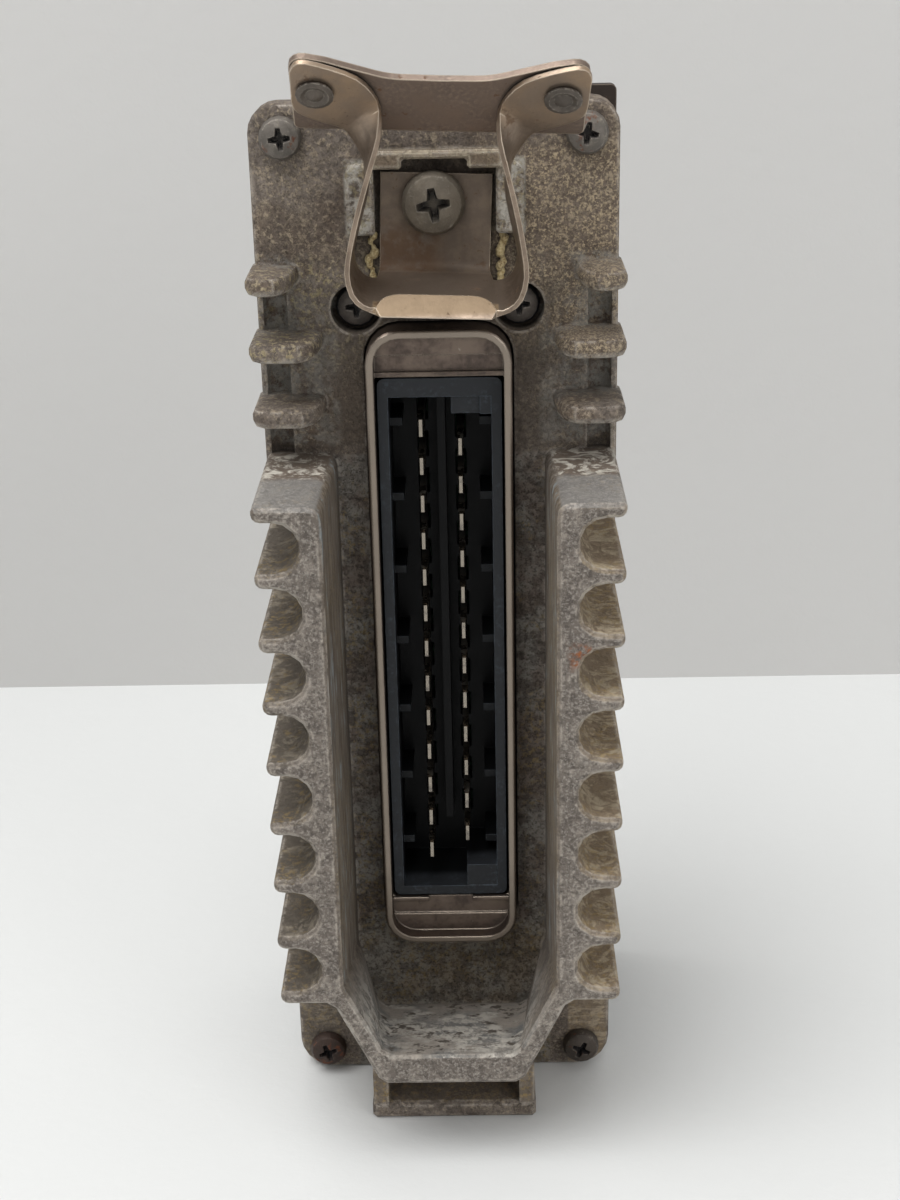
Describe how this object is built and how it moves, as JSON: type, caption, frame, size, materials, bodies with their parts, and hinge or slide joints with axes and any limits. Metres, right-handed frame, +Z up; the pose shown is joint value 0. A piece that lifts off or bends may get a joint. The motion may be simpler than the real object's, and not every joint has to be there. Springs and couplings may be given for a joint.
{
  "type": "engine control unit",
  "caption": "Narrow upright engine control unit: finned cast front, U-shaped plug shroud, multi-pin socket, spring latch, shallow rear cover.",
  "frame": {"origin": "centre of the outline on the surface that the unit stands on", "axes": "+Z up along the length of the unit, +X to the right as one faces the socket, -Y out of the socket"},
  "size_m": [0.0464, 0.0516, 0.1429],
  "materials": {
    "cast_aluminium": "rough, weathered",
    "painted_cover": "matt, dusty",
    "spring_steel": "tarnished passivated",
    "plated_steel": "tarnished nickel",
    "screw_steel": "dull, lightly rusted",
    "black_plastic": "satin",
    "tinned_brass": "tinned",
    "rubber": "matt",
    "board_laminate": "satin",
    "can_metal": "satin"
  },
  "bodies": {
    "root": {"front_casting": "cast_aluminium", "rear_cover": "painted_cover", "cover_seal": "rubber", "mounting_plate": "plated_steel", "mounting_screw_1": "screw_steel", "mounting_screw_2": "screw_steel", "corner_screw_1": "screw_steel", "corner_screw_2": "screw_steel", "corner_screw_3": "screw_steel", "corner_screw_4": "screw_steel", "latch_screw": "screw_steel", "latch_spring": "spring_steel", "latch_lever": "plated_steel", "latch_rivet_1": "screw_steel", "latch_rivet_2": "screw_steel", "socket_collar": "plated_steel", "socket_housing": "black_plastic", "socket_seal": "rubber", "socket_screw_1": "screw_steel", "socket_screw_2": "screw_steel", "circuit_board": "board_laminate", "board_screw_1": "screw_steel", "board_screw_2": "screw_steel", "board_screw_3": "screw_steel", "board_screw_4": "screw_steel", "power_transistor_1": "black_plastic", "power_transistor_2": "black_plastic", "processor_chip": "black_plastic", "memory_chip": "black_plastic", "capacitor_1": "can_metal", "capacitor_2": "can_metal", "choke": "rubber", "crystal": "can_metal", "contact_pin_01": "tinned_brass", "contact_pin_02": "tinned_brass", "contact_pin_03": "tinned_brass", "contact_pin_04": "tinned_brass", "contact_pin_05": "tinned_brass", "contact_pin_06": "tinned_brass", "contact_pin_07": "tinned_brass", "contact_pin_08": "tinned_brass", "contact_pin_09": "tinned_brass", "contact_pin_10": "tinned_brass", "contact_pin_11": "tinned_brass", "contact_pin_12": "tinned_brass", "contact_pin_13": "tinned_brass", "contact_pin_14": "tinned_brass", "contact_pin_15": "tinned_brass", "contact_pin_16": "tinned_brass", "contact_pin_17": "tinned_brass", "contact_pin_18": "tinned_brass", "contact_pin_19": "tinned_brass", "contact_pin_20": "tinned_brass", "contact_pin_21": "tinned_brass", "contact_pin_22": "tinned_brass", "contact_pin_23": "tinned_brass", "contact_pin_24": "tinned_brass", "contact_pin_25": "tinned_brass"}
  },
  "joints": []
}
